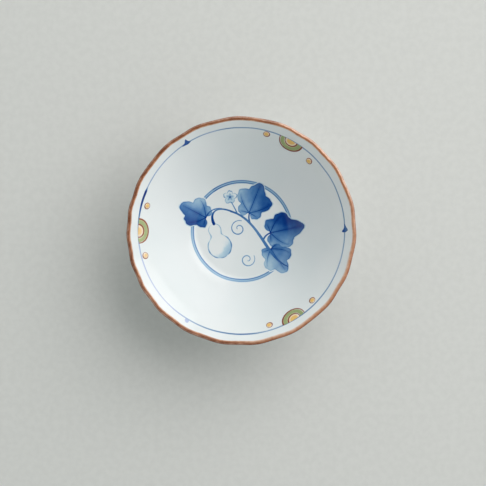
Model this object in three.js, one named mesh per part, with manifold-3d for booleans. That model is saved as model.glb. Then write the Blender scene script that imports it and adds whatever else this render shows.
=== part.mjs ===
// A small porcelain serving dish with a foliate lip, in millimetres, +Z up.
// The origin is the centre of the foot, on the surface that the dish stands on.

import * as THREE from "three";
import { mergeVertices } from "three/addons/utils/BufferGeometryUtils.js";
import Module from "manifold-3d";

// Driving dimensions of the glazed dish; radii and heights are those of the finished surface
const LIP_RADIUS = 52.5; // mean outer radius
const HEIGHT = 37;
const LIP_THICKNESS = 2;
const LIP_SLOPE = 38; // degrees from level, where the wall flattens towards the lip
const FLOOR_HEIGHT = 9.5; // inside, at the centre
const FLOOR_RADIUS = 20; // where the floor starts to turn up
const FLOOR_RISE = 0.95;
const FLOOR_SLOPE = 5.5;
const TURN_RADIUS = 25.2; // where the turn runs into the wall
const TURN_RISE = 3.1;
const TURN_SLOPE = 35.5;
const FLARE_RADIUS = 42.6; // where the inner wall is steepest
const FLARE_RISE = 20.4;
const FLARE_SLOPE = 43;

// Foot ring
const FOOT_RADIUS = 24;
const FOOT_BORE_RADIUS = 20.6;
const RECESS_HEIGHT = 5.2; // from the table to the glazed ceiling of the recess
const RECESS_FILLET = 1.2;
const GLAZE_STOP = 1; // the foot is bare below this height
const TIP_INNER_RADIUS = 21.6;
const TIP_OUTER_RADIUS = 23;
const SHOULDER_HEIGHT = 6.1; // top of the foot's upright outer side
const WALL_FOOT_RADIUS = 25.2; // where the outer wall leaves the fillet above the foot
const WALL_FOOT_HEIGHT = 7.6;
const WALL_FOOT_SLOPE = 30;

// Coats of glaze and enamel
const GLAZE = 0.35;
const ENAMEL = 0.2;
const RED_LINE = 0.12;
const SEAM = 0.05; // hairline kept between neighbouring pieces
const BROWN_EDGE_RADIUS = 50.5; // inner edge of the brown lip
const BROWN_DEPTH_OUTSIDE = 1.2; // how far the brown reaches in from the lip on the outer wall

// The soft lobes of the lip, pressed by eye: the azimuth of each crest, in degrees from +X
const LOBE_CRESTS = [
  13, 34, 51, 67, 93, 114, 130, 155, 169, 182, 196, 210, 224, 241, 260, 278, 297, 321, 337, 356,
];
const LOBE_SWELL = 0.18;
const LOBE_START_RADIUS = 43; // the wall is round inside this radius
const OVAL_SWELL = 0.13; // the whole lip is a little oval
const OVAL_AZIMUTH = 25.5;

// Overglaze enamels on the inner wall
const BLUE_LINE_RADIUS = 47.35; // the painted line that cuts the half-roundels off
const ROUNDEL_CENTRE_RADIUS = 47.15;
const ROUNDEL_AZIMUTHS = [61, 180, 301];
const DOT_PLACES = [
  { azimuth: 75.6, radius: 45.9 },
  { azimuth: 45.9, radius: 44.6 },
  { azimuth: 165.2, radius: 44.8 },
  { azimuth: 194.3, radius: 45.4 },
  { azimuth: 286.5, radius: 45.2 },
  { azimuth: 315.6, radius: 45.5 },
];

// How finely the surfaces are cut
const SIDES = 72;
const ROUNDEL_SIDES = 24;
const DOT_SIDES = 12;

function finish(color, roughness) {
  return new THREE.MeshStandardMaterial({ color, roughness, metalness: 0 });
}

const clay = finish(0xe9e4da, 0.75);
const clearGlaze = finish(0xe3eae9, 0.1);
const ironBrown = finish(0x8f5130, 0.3);
const ironRed = finish(0xa5533a, 0.35);
const greenEnamel = finish(0xa3bc8a, 0.15);
const yellowEnamel = finish(0xecc97c, 0.15);

// Each motif's fields of enamel from the outside inwards; each starts a seam inside the one before
const ROUNDEL_FIELDS = [
  { name: "outer_line", radius: 5.8, bore: 5.3, thickness: RED_LINE, material: ironRed },
  { name: "green_band", radius: 5.3, bore: 3.2, thickness: ENAMEL, material: greenEnamel },
  { name: "inner_line", radius: 3.2, bore: 2.7, thickness: RED_LINE, material: ironRed },
  { name: "yellow_heart", radius: 2.7, bore: 0, thickness: ENAMEL, material: yellowEnamel },
];
const DOT_FIELDS = [
  { name: "outline", radius: 1.58, bore: 1.15, thickness: RED_LINE, material: ironRed },
  { name: "yellow_drop", radius: 1.15, bore: 0, thickness: ENAMEL, material: yellowEnamel },
];

// Outline of the glazed dish in the (radius, height) plane

const { degToRad, smoothstep } = THREE.MathUtils;

function point(radius, height) {
  return new THREE.Vector2(radius, height);
}

// A unit vector at an angle in degrees above level
function heading(degrees) {
  return point(Math.cos(degToRad(degrees)), Math.sin(degToRad(degrees)));
}

// A curve from one point and slope to another, with handles of the given lengths
function blend(start, startSlope, startHandle, end, endSlope, endHandle) {
  return new THREE.CubicBezierCurve(
    start,
    start.clone().addScaledVector(heading(startSlope), startHandle),
    end.clone().addScaledVector(heading(endSlope), -endHandle),
    end,
  );
}

// Where a curve that runs outwards passes a radius, as the curve's own parameter
function parameterAtRadius(curve, radius) {
  let low = 0;
  let high = 1;
  while (high - low > 1e-6) {
    const middle = (low + high) / 2;
    if (curve.getPoint(middle).x < radius) low = middle;
    else high = middle;
  }
  return low;
}

// Points from one parameter of a curve to another, without the first of them
function along(curve, steps, from = 0, to = 1) {
  const points = [];
  for (let step = 1; step <= steps; step++) {
    points.push(curve.getPoint(from + ((to - from) * step) / steps));
  }
  return points;
}

const lipHalf = LIP_THICKNESS / 2;
const lipCentre = point(LIP_RADIUS - lipHalf, HEIGHT - lipHalf);
const lipInside = lipCentre.clone().addScaledVector(heading(LIP_SLOPE + 90), lipHalf);
const lipOutside = lipCentre.clone().addScaledVector(heading(LIP_SLOPE - 90), lipHalf);
const floorEdge = point(FLOOR_RADIUS, FLOOR_HEIGHT + FLOOR_RISE);
const turnTop = point(TURN_RADIUS, FLOOR_HEIGHT + TURN_RISE);
const flare = point(FLARE_RADIUS, FLOOR_HEIGHT + FLARE_RISE);
const shoulder = point(FOOT_RADIUS, SHOULDER_HEIGHT);
const wallFoot = point(WALL_FOOT_RADIUS, WALL_FOOT_HEIGHT);
const filletDrop = (WALL_FOOT_RADIUS - FOOT_RADIUS) * Math.tan(degToRad(WALL_FOOT_SLOPE));

const floor = new THREE.QuadraticBezierCurve(
  point(0, FLOOR_HEIGHT),
  point(FLOOR_RADIUS / 2, FLOOR_HEIGHT),
  floorEdge,
);
const turn = blend(floorEdge, FLOOR_SLOPE, 2.6, turnTop, TURN_SLOPE, 2.4);
const innerWall = new THREE.CurvePath();
innerWall.add(blend(turnTop, TURN_SLOPE, 8.5, flare, FLARE_SLOPE, 4));
innerWall.add(blend(flare, FLARE_SLOPE, 1.6, lipInside, LIP_SLOPE, 3.5));
const lipRound = new THREE.ArcCurve(
  lipCentre.x,
  lipCentre.y,
  lipHalf,
  degToRad(LIP_SLOPE - 90),
  degToRad(LIP_SLOPE + 90),
);
const outerWall = blend(wallFoot, WALL_FOOT_SLOPE, 9, lipOutside, LIP_SLOPE, 10);
const fillet = new THREE.QuadraticBezierCurve(
  shoulder,
  point(FOOT_RADIUS, WALL_FOOT_HEIGHT - filletDrop),
  wallFoot,
);
const brownInside = parameterAtRadius(innerWall, BROWN_EDGE_RADIUS);
const brownOutside = parameterAtRadius(outerWall, lipOutside.x - BROWN_DEPTH_OUTSIDE);
const lobesInside = parameterAtRadius(innerWall, LOBE_START_RADIUS);
const lobesOutside = parameterAtRadius(outerWall, LOBE_START_RADIUS);

// Four stretches counter-clockwise from the axis; the foot's bare tip is left out between two
const recessLine = [
  point(0, RECESS_HEIGHT),
  point(FOOT_BORE_RADIUS - RECESS_FILLET, RECESS_HEIGHT),
  point(FOOT_BORE_RADIUS, RECESS_HEIGHT - RECESS_FILLET),
  point(FOOT_BORE_RADIUS, GLAZE_STOP),
];
const outerLine = [
  point(FOOT_RADIUS, GLAZE_STOP),
  shoulder,
  ...along(fillet, 2),
  ...along(outerWall, 3, 0, lobesOutside),
  ...along(outerWall, 2, lobesOutside, brownOutside),
];
const lipLine = [
  lipOutside,
  ...along(lipRound, 4),
  innerWall.getPoint(brownInside),
];
const innerLine = [
  ...along(innerWall, 2, brownInside, lobesInside),
  ...along(innerWall, 3, lobesInside, 0),
  ...along(turn, 3, 1, 0),
  ...along(floor, 2, 1, 0),
];
const outline = [...recessLine, ...outerLine, ...lipLine, ...innerLine];
const footInside = recessLine.length - 1;
const footOutside = recessLine.length;
const brownStart = footOutside + outerLine.length - 1;
const brownEnd = brownStart + lipLine.length;
const centre = outline.length - 1;

// The square direction to the left of a step, which is into the clay
function leftOf(from, to) {
  return point(from.y - to.y, to.x - from.x).normalize();
}

// The outline moved into the clay by a distance, or out of it by a negative one
function inset(distance) {
  return outline.map((here, index) => {
    if (index === 0) return point(0, here.y + distance);
    if (index === centre) return point(0, here.y - distance);
    const before = leftOf(outline[index - 1], here);
    const mitre = leftOf(here, outline[index + 1]).add(before).normalize();
    return mitre.multiplyScalar(distance / mitre.dot(before)).add(here);
  });
}

// Part of a line, with each end that is off the axis drawn in by half a seam
function stretch(line, from, to) {
  const drawnIn = (end, next) =>
    end.x > 0 ? end.clone().lerp(next, SEAM / 2 / end.distanceTo(next)) : end;
  return [
    drawnIn(line[from], line[from + 1]),
    ...line.slice(from + 1, to),
    drawnIn(line[to], line[to - 1]),
  ];
}

// The closed profile between two lines over one stretch of the outline
function layerProfile(face, back, from, to) {
  const start = stretch(face, from, to);
  return [...start, ...stretch(back, from, to).reverse(), start[0]];
}

// Solids

// How far the lip stands out from its mean radius at an azimuth in degrees
function lipSwell(azimuth) {
  const crests = [LOBE_CRESTS.at(-1) - 360, ...LOBE_CRESTS, LOBE_CRESTS[0] + 360];
  const next = crests.findIndex((crest) => crest > azimuth);
  const phase = (azimuth - crests[next - 1]) / (crests[next] - crests[next - 1]);
  const oval = Math.cos(degToRad(2 * (azimuth - OVAL_AZIMUTH)));
  return LOBE_SWELL * Math.cos(2 * Math.PI * phase) + OVAL_SWELL * oval;
}

// A closed profile turned about the axis, with the lobes pressed into its outer part
function turned(profile) {
  const geometry = new THREE.LatheGeometry(profile, SIDES).rotateX(Math.PI / 2);
  const position = geometry.attributes.position;
  for (let index = 0; index < position.count; index++) {
    const x = position.getX(index);
    const y = position.getY(index);
    const radius = Math.hypot(x, y);
    const pressed = smoothstep(radius, LOBE_START_RADIUS, BROWN_EDGE_RADIUS);
    if (pressed === 0) continue;
    const azimuth = (THREE.MathUtils.radToDeg(Math.atan2(y, x)) + 360) % 360;
    const stretched = 1 + (pressed * lipSwell(azimuth)) / radius;
    position.setXY(index, x * stretched, y * stretched);
  }
  geometry.computeVertexNormals();
  return geometry;
}

const wasm = await Module();
wasm.setup();

// A closed geometry as a solid that can be cut
function solidOf(geometry) {
  const bare = geometry.clone();
  bare.deleteAttribute("normal");
  bare.deleteAttribute("uv");
  const merged = mergeVertices(bare, 1e-3);
  return new wasm.Manifold(
    new wasm.Mesh({
      numProp: 3,
      vertProperties: merged.attributes.position.array,
      triVerts: new Uint32Array(merged.index.array),
    }),
  );
}

function geometryOf(solid) {
  const { vertProperties, triVerts } = solid.getMesh();
  const geometry = new THREE.BufferGeometry();
  geometry.setAttribute("position", new THREE.BufferAttribute(vertProperties, 3));
  geometry.setIndex(new THREE.BufferAttribute(triVerts, 1));
  geometry.computeVertexNormals();
  return geometry;
}

const dish = new THREE.Group();

function addPiece(name, geometry, material) {
  const mesh = new THREE.Mesh(geometry, material);
  mesh.name = name;
  dish.add(mesh);
}

// Clay: the body above the joint with the foot, and the foot ring below it

const clayLine = inset(GLAZE + SEAM);
const jointHeight = clayLine[0].y;
const footClayRadius = FOOT_RADIUS - GLAZE - SEAM;

addPiece(
  "porcelain_body",
  turned([
    point(0, jointHeight),
    point(footClayRadius, jointHeight),
    ...clayLine.slice(footOutside + 1),
  ]),
  clay,
);
addPiece(
  "foot_ring",
  turned([
    point(clayLine[1].x, jointHeight - SEAM),
    ...clayLine.slice(2, footInside + 1),
    point(TIP_INNER_RADIUS, 0),
    point(TIP_OUTER_RADIUS, 0),
    clayLine[footOutside],
    point(footClayRadius, jointHeight - SEAM),
    point(clayLine[1].x, jointHeight - SEAM),
  ]),
  clay,
);

// Glaze coats

const glazeBack = inset(GLAZE);

function addCoat(name, from, to, material) {
  addPiece(name, turned(layerProfile(outline, glazeBack, from, to)), material);
}

addCoat("recess_glaze", 0, footInside, clearGlaze);
addCoat("outer_glaze", footOutside, brownStart, clearGlaze);
addCoat("lip_brown_glaze", brownStart, brownEnd, ironBrown);
addCoat("inner_glaze", brownEnd, centre, clearGlaze);

// Enamels: fields of a thin layer over the inner wall, inside the painted line

const insideLine = solidOf(
  new THREE.CylinderGeometry(BLUE_LINE_RADIUS, BLUE_LINE_RADIUS, 2 * HEIGHT, SIDES).rotateX(
    Math.PI / 2,
  ),
);
const wallTop = brownEnd;
const wallMiddle = brownEnd + 3;

function enamelLayer(thickness) {
  const profile = layerProfile(inset(-SEAM - thickness), inset(-SEAM), wallTop, wallMiddle);
  return solidOf(turned(profile)).intersect(insideLine);
}

const layers = new Map([ENAMEL, RED_LINE].map((thickness) => [thickness, enamelLayer(thickness)]));

// A straight cutter with a ring's outline, square to the wall at an azimuth and a radius
function wallCutter({ radius, bore }, sides, place) {
  const ring = new THREE.Shape().absarc(0, 0, radius, 0, 2 * Math.PI, false);
  if (bore > 0) ring.holes.push(new THREE.Path().absarc(0, 0, bore, 0, 2 * Math.PI, true));
  const depth = 4;
  const cutter = new THREE.ExtrudeGeometry(ring, {
    depth,
    curveSegments: sides / 2,
    bevelEnabled: false,
  });
  const spot = parameterAtRadius(innerWall, place.radius);
  cutter.translate(0, 0, -depth / 2);
  cutter.rotateX(innerWall.getTangent(spot).angle());
  cutter.translate(0, place.radius, innerWall.getPoint(spot).y);
  cutter.rotateZ(degToRad(place.azimuth - 90));
  return solidOf(cutter);
}

function addMotif(name, fields, sides, place) {
  for (const [index, field] of fields.entries()) {
    const radius = field.radius - (index > 0 ? SEAM : 0);
    const cutter = wallCutter({ radius, bore: field.bore }, sides, place);
    const solid = layers.get(field.thickness).intersect(cutter);
    addPiece(`${name}_${field.name}`, geometryOf(solid), field.material);
  }
}

for (const [index, azimuth] of ROUNDEL_AZIMUTHS.entries()) {
  const place = { azimuth, radius: ROUNDEL_CENTRE_RADIUS };
  addMotif(`roundel_${index + 1}`, ROUNDEL_FIELDS, ROUNDEL_SIDES, place);
}
for (const [index, place] of DOT_PLACES.entries()) {
  addMotif(`dot_${index + 1}`, DOT_FIELDS, DOT_SIDES, place);
}

export default dish;
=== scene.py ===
"""A small porcelain dish with a foliate brown lip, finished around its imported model.

The dish is one fired ware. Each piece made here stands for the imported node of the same
material, with the true curves, the brushwork under the glaze and the enamels over it.
Shapes are worked out in millimetres and become metres when a piece is finished.
"""

import math

import bmesh
import bpy
import numpy as np
from mathutils import Matrix, Vector


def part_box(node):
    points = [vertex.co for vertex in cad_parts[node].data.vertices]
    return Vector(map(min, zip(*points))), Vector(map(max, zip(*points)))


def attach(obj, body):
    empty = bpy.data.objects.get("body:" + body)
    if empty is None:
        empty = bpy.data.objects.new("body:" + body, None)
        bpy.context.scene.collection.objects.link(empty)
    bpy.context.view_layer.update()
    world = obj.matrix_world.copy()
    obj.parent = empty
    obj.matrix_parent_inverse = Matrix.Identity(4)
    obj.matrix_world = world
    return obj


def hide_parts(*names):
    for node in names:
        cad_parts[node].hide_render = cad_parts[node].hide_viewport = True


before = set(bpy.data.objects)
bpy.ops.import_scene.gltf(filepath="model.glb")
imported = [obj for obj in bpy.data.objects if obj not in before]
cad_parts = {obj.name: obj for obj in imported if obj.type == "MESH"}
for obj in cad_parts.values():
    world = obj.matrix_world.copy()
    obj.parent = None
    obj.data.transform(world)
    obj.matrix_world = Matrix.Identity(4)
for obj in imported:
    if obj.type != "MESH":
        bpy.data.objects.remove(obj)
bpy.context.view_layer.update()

MM = 0.001
FULL_TURN = 2 * math.pi

# Outline of the glazed dish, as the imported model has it; the lip is eased inside its box
EASE = 0.02
LIP_RADIUS = 52.4
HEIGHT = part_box("lip_brown_glaze")[1].z / MM - EASE
LIP_THICKNESS = 2
LIP_SLOPE = 38
FLOOR_HEIGHT = 9.5
FLOOR_RADIUS = 20
FLOOR_RISE = 0.95
FLOOR_SLOPE = 5.5
TURN_RADIUS = 25.2
TURN_RISE = 3.1
TURN_SLOPE = 35.5
FLARE_RADIUS = 42.6
FLARE_RISE = 20.4
FLARE_SLOPE = 43
BROWN_EDGE_RADIUS = 50.5
BROWN_DEPTH_OUTSIDE = 1.2

# Foot ring
FOOT_RADIUS = 24
FOOT_BORE_RADIUS = 20.6
RECESS_HEIGHT = 5.2
RECESS_FILLET = 1.2
GLAZE_STOP = 1
TIP_INNER_RADIUS = 21.6
TIP_OUTER_RADIUS = 23
TIP_EASE_ACROSS = 0.1
TIP_EASE_UP = 0.2
SHOULDER_HEIGHT = 6.1
WALL_FOOT = np.array([25.2, 7.6])
WALL_FOOT_SLOPE = 30
JOINT_HEIGHT = 5.6

# A coat of glaze, the gap between neighbouring pieces, and how near two points are welded
GLAZE = 0.35
HAIRLINE = 0.01
WELD = HAIRLINE / 10

# Lobes of the lip
LOBE_CRESTS = (
    13, 34, 51, 67, 93, 114, 130, 155, 169, 182, 196, 210, 224, 241, 260, 278, 297, 321, 337, 356,
)
LOBE_SWELL = 0.18
LOBE_START_RADIUS = 43
OVAL_SWELL = 0.13
OVAL_AZIMUTH = 25.5

# Painted circles
BLUE_LINE_RADIUS = 47.35
RING_RADII = (22.8, 23.75)

# Enamels
ROUNDEL_CENTRE_RADIUS = 47.15
ROUNDEL_AZIMUTHS = (61, 180, 301)
DOT_PLACES = (
    (75.6, 45.9), (45.9, 44.6), (165.2, 44.8), (194.3, 45.4), (286.5, 45.2), (315.6, 45.5),
)

# How finely the surfaces are cut
STEPS_AROUND = 360
FLOOR_GAP = 0.5
WALL_GAP = 0.8
LIP_GAP = 0.12
SHARP_ANGLE = 50

# Along painted edges the inner coat is cut again: edges longer than the first length are halved
# where they lie within the second of an edge of the painting
REFINING_PASSES = ((0.5, 0.8), (0.26, 0.42), (0.17, 0.25))


# Lines in the (radius, height) plane

def heading(degrees):
    """A unit vector at an angle in degrees"""
    return np.array([math.cos(math.radians(degrees)), math.sin(math.radians(degrees))])


def bezier(*controls, steps=200):
    """Points along the curve with these control points"""
    share = np.linspace(0, 1, steps + 1)[:, None]
    layers = [np.asarray(control, float) + 0 * share for control in controls]
    while len(layers) > 1:
        layers = [near + (far - near) * share for near, far in zip(layers, layers[1:])]
    return layers[0]


def blend(start, start_slope, start_handle, end, end_slope, end_handle):
    """A curve from one point and slope to another, with handles of the given lengths"""
    return bezier(
        start,
        start + start_handle * heading(start_slope),
        end - end_handle * heading(end_slope),
        end,
    )


def arc(centre, radius, start, end):
    """An arc about a centre from one angle in degrees to another"""
    angles = np.radians(np.linspace(start, end, 101))
    return centre + radius * np.column_stack([np.cos(angles), np.sin(angles)])


def runs_of(line):
    """The distance along a line to each of its points"""
    return np.concatenate([[0], np.cumsum(np.hypot(*np.diff(line, axis=0).T))])


def spaced(line, gap):
    """The same line with its points about this far apart"""
    runs = runs_of(line)
    marks = np.linspace(0, runs[-1], max(2, round(runs[-1] / gap) + 1))
    return np.column_stack([np.interp(marks, runs, column) for column in line.T])


def joined(*lines):
    """Lines that meet end to end as one line"""
    return np.vstack([lines[0], *[line[1:] for line in lines[1:]]])


def out_of_clay(line):
    """The unit direction square to a line at each point, on its left"""
    steps = np.gradient(line, axis=0)
    return np.column_stack([-steps[:, 1], steps[:, 0]]) / np.hypot(*steps.T)[:, None]


def inset(line, distance):
    """A line moved into the clay, with its ends kept on the axis if they are there"""
    moved = line - distance * out_of_clay(line)
    moved[line[:, 0] == 0, 0] = 0
    return moved


lip_half = LIP_THICKNESS / 2
lip_centre = np.array([LIP_RADIUS - lip_half, HEIGHT - lip_half])
lip_inside = lip_centre + lip_half * heading(LIP_SLOPE + 90)
lip_outside = lip_centre + lip_half * heading(LIP_SLOPE - 90)
floor_edge = np.array([FLOOR_RADIUS, FLOOR_HEIGHT + FLOOR_RISE])
turn_top = np.array([TURN_RADIUS, FLOOR_HEIGHT + TURN_RISE])
flare = np.array([FLARE_RADIUS, FLOOR_HEIGHT + FLARE_RISE])
shoulder = np.array([FOOT_RADIUS, SHOULDER_HEIGHT])
fillet_drop = (WALL_FOOT[0] - FOOT_RADIUS) * math.tan(math.radians(WALL_FOOT_SLOPE))
glaze_roll = GLAZE / 2

# The inside from the axis to the lip, then over the lip and down the outside to the glaze stop.
# In a blend, the length of the curve's handle follows each slope.
inner_line = joined(
    spaced(bezier((0, FLOOR_HEIGHT), (FLOOR_RADIUS / 2, FLOOR_HEIGHT), floor_edge), FLOOR_GAP),
    spaced(blend(floor_edge, FLOOR_SLOPE, 2.6, turn_top, TURN_SLOPE, 2.4), FLOOR_GAP),
    spaced(blend(turn_top, TURN_SLOPE, 8.5, flare, FLARE_SLOPE, 4), WALL_GAP),
    spaced(blend(flare, FLARE_SLOPE, 1.6, lip_inside, LIP_SLOPE, 3.5), WALL_GAP),
)
lip_line = spaced(arc(lip_centre, lip_half, LIP_SLOPE + 90, LIP_SLOPE - 90), LIP_GAP)
outer_line = joined(
    spaced(blend(WALL_FOOT, WALL_FOOT_SLOPE, 9, lip_outside, LIP_SLOPE, 10), WALL_GAP)[::-1],
    spaced(bezier(WALL_FOOT, (FOOT_RADIUS, WALL_FOOT[1] - fillet_drop), shoulder), LIP_GAP),
    spaced(np.array([shoulder, (FOOT_RADIUS, GLAZE_STOP + glaze_roll)]), WALL_GAP),
)
recess_corner = (FOOT_BORE_RADIUS, RECESS_HEIGHT)
recess_line = joined(
    spaced(np.array([(FOOT_BORE_RADIUS, GLAZE_STOP + glaze_roll),
                     (FOOT_BORE_RADIUS, RECESS_HEIGHT - RECESS_FILLET)]), WALL_GAP),
    spaced(bezier((FOOT_BORE_RADIUS, RECESS_HEIGHT - RECESS_FILLET), recess_corner,
                  (FOOT_BORE_RADIUS - RECESS_FILLET, RECESS_HEIGHT)), LIP_GAP),
    spaced(np.array([(FOOT_BORE_RADIUS - RECESS_FILLET, RECESS_HEIGHT), (0, RECESS_HEIGHT)]), 1),
)
over_line = joined(inner_line, lip_line, outer_line)
brown_start = int(np.argmax(over_line[:, 0] > BROWN_EDGE_RADIUS))
brown_end = len(inner_line) + int(
    np.argmax(over_line[len(inner_line):, 0] < lip_outside[0] - BROWN_DEPTH_OUTSIDE)
)
runs_from_brown = runs_of(over_line) - runs_of(over_line)[brown_start]
wall_runs = runs_of(inner_line)
wall_normals = out_of_clay(inner_line)


# Bodies turned from a profile

def turned(profile, steps=STEPS_AROUND):
    """A closed body turned from a profile that is a loop, or starts and ends on the axis"""
    body = bmesh.new()
    corners = [body.verts.new((across, 0, up)) for across, up in profile]
    pairs = list(zip(corners, corners[1:]))
    if profile[0][0] > 0:
        pairs.append((corners[-1], corners[0]))
    edges = [body.edges.new(pair) for pair in pairs]
    # A quarter is spun, and mirrored to a half and then to the whole
    bmesh.ops.spin(
        body, geom=corners + edges, cent=(0, 0, 0), axis=(0, 0, 1), angle=FULL_TURN / 4,
        steps=steps // 4,
    )
    for axis in "XY":
        bmesh.ops.mirror(
            body, geom=[*body.verts, *body.edges, *body.faces], merge_dist=WELD,
            axis=axis,
        )
    bmesh.ops.remove_doubles(body, verts=body.verts, dist=WELD)
    bmesh.ops.recalc_face_normals(body, faces=body.faces)
    return body


def coat(line, back):
    """The profile of a coat between its surface line and its back, which is cut half as finely"""
    return np.vstack([line, back[:0:-2], back[:1]])


def rolled_end(tip, back_tip):
    """The round end of a coat of glaze that stops short of the foot's tip"""
    centre = (tip + back_tip) / 2
    side = math.degrees(math.atan2(*(tip - centre)[::-1]))
    turn = 180 if side > 90 else -180
    return spaced(arc(centre, GLAZE / 2, side, side + turn), GLAZE / 6)[1:-1]


def pressed(points):
    """Points of a round dish, moved where the lobes of the lip are pressed out or in"""
    radius = np.maximum(np.hypot(points[:, 0], points[:, 1]), HAIRLINE)
    azimuth = np.degrees(np.arctan2(points[:, 1], points[:, 0])) % 360
    crests = (LOBE_CRESTS[-1] - 360, *LOBE_CRESTS, LOBE_CRESTS[0] + 360)
    phase = np.interp(azimuth, crests, range(len(crests)))
    oval = np.cos(np.radians(2 * (azimuth - OVAL_AZIMUTH)))
    swell = LOBE_SWELL * np.cos(FULL_TURN * phase) + OVAL_SWELL * oval
    share = eased(radius, LOBE_START_RADIUS, BROWN_EDGE_RADIUS)
    stretched = 1 + share * swell / radius
    return points * np.column_stack([stretched, stretched, np.ones(len(points))])


def eased(value, low, high):
    """Goes smoothly from 0 at low to 1 at high"""
    share = np.clip((value - low) / (high - low), 0, 1)
    return share * share * (3 - 2 * share)


def lip_run(places, far_run):
    """How far each point lies past the brown's inner edge, or far_run well below the lip"""
    radius = np.hypot(places[:, 0], places[:, 1])
    found = np.full(len(places), far_run)
    near = (radius > LOBE_START_RADIUS) & (places[:, 2] > HEIGHT / 2)
    rows = np.column_stack([radius, places[:, 2]])[near]
    away = np.hypot(*(rows[:, None] - over_line[None]).transpose(2, 0, 1))
    found[near] = runs_from_brown[away.argmin(axis=1)]
    return {"lip_run": found}


def finished(name, body, node, material, attributes=None):
    """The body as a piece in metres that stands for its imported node"""
    mesh = bpy.data.meshes.new(name)
    body.to_mesh(mesh)
    body.free()
    points = np.empty(len(mesh.vertices) * 3)
    mesh.vertices.foreach_get("co", points)
    points = points.reshape(-1, 3)
    for attribute, values in (attributes(points) if attributes else {}).items():
        mesh.attributes.new(attribute, "FLOAT", "POINT").data.foreach_set("value", values)
    mesh.vertices.foreach_set("co", (pressed(points) * MM).ravel())
    mesh.shade_smooth()
    mesh.set_sharp_from_angle(angle=math.radians(SHARP_ANGLE))
    mesh.materials.append(material)
    mesh.update()
    piece = bpy.data.objects.new(name, mesh)
    bpy.context.scene.collection.objects.link(piece)
    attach(piece, "root")
    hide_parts(node)
    return piece


# Brushwork in the well: a gourd vine that crosses the double ring

# Each leaf: the place where its stem joins, its size, where its tip points, how dark its
# loaded side and its pale side are, and which way the pale side lies
LEAVES = (
    {"base": (13.4, -0.8), "size": 18.6, "tip": 12, "dark": 0.91, "pale": 0.34, "pale_side": 250},
    {"base": (13.6, -8.4), "size": 15.6, "tip": -56, "dark": 0.63, "pale": 0.2, "pale_side": 230},
    {"base": (3.4, 8.6), "size": 18.0, "tip": 68, "dark": 0.76, "pale": 0.24, "pale_side": 190},
    {"base": (-17.0, 6.4), "size": 15.6, "tip": 152, "dark": 0.83, "pale": 0.26, "pale_side": 60},
)

# A leaf's outline about its centre, in shares of its size. Each wave of its uneven edge has its
# number round the leaf, how far it turns from leaf to leaf, and its depth.
LOBES = 5
LEAF_CENTRE = 0.25
LEAF_REACH = 0.32
LOBE_REACH = 0.145
LEAF_LEAN = 0.05
TIP_REACH = 0.075
TIP_ANGLE = 0.3
NOTCH_DEPTH = 0.11
NOTCH_ANGLE = 0.2
EDGE_WAVES = ((3, 1, 0.018), (11, 2, 0.009), (19, 3, 0.006))

VEIN_WIDTHS = (0.55, 0.42, 0.2)
VEIN_REACH = 0.84
VEIN_BOW = 0.12
VEIN_DARKER = 0.26
DARKER_BY_VEIN = 0.1
DARKER_BY_EDGE = 0.08
DARKER_IN_PATCHES = 0.07

# Each stem: its control points, and its widths and darkness from end to end
STEMS = (
    {"route": ((21.6, -16.6), (11.0, -12.5), (8.5, 5.5), (-5.2, 9.3)),
     "widths": (0.5, 1.5, 1.1, 0.8), "tones": (0.92, 0.66, 0.55, 0.8)},
    {"route": ((-4.8, 9.2), (-11.6, 12.2), (-15.8, 9.0), (-13.2, 3.4)),
     "widths": (0.8, 0.6, 1.4), "tones": (0.76, 0.6, 1.0)},
    {"route": ((-9.6, 10.6), (-12.6, 11.0), (-16.0, 9.4), (-16.9, 6.5)),
     "widths": (0.5, 0.55, 0.6), "tones": (0.6, 0.7, 0.95)},
    {"route": ((10.0, -4.4), (10.8, -1.8), (13.4, -0.9)),
     "widths": (0.9, 0.6), "tones": (0.6, 0.95)},
    {"route": ((14.9, -11.4), (14.6, -9.6), (13.6, -8.4)),
     "widths": (0.8, 0.5), "tones": (0.6, 0.9)},
    {"route": ((3.9, 3.5), (2.9, 6.0), (3.5, 8.6)),
     "widths": (0.9, 0.5), "tones": (0.6, 0.95)},
    {"route": ((-2.2, 8.2), (-3.4, 11.0), (-5.0, 13.6)),
     "widths": (0.6, 0.45), "tones": (0.62, 0.5)},
)

# Each tendril: its centre, the angle that it starts at, its reach, its turns and its darkness
TENDRILS = (
    {"centre": (-1.6, 1.2), "start": 68, "reach": 3.3, "turns": 1.35, "tone": 0.55},
    {"centre": (2.6, -13.4), "start": 30, "reach": 3.0, "turns": -1.3, "tone": 0.45},
)
TENDRIL_WIDTHS = (0.3, 0.55, 0.5, 0.3)

GOURD_TOP = (-12.8, 0.5)
GOURD_TOP_RADIUS = 2.9
GOURD_BELLY = (-10.4, -7.2)
GOURD_BELLY_RADIUS = 5.5
GOURD_WAIST = 2.6
GOURD_LINE_TONE = 0.48
GOURD_WASH_TONE = 0.3
GOURD_WASH_SIDE = -35

FLOWER = (-5.6, 16.0)
FLOWER_RADIUS = 3.1
FLOWER_TURN = 0.3
PETALS = 5
PETAL_LINE_TONE = 0.52
RAY_TONE = 0.6
RAY_LENGTH = 1.7
HEART_RADIUS = 0.5
HEART_TONE = 0.85

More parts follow.
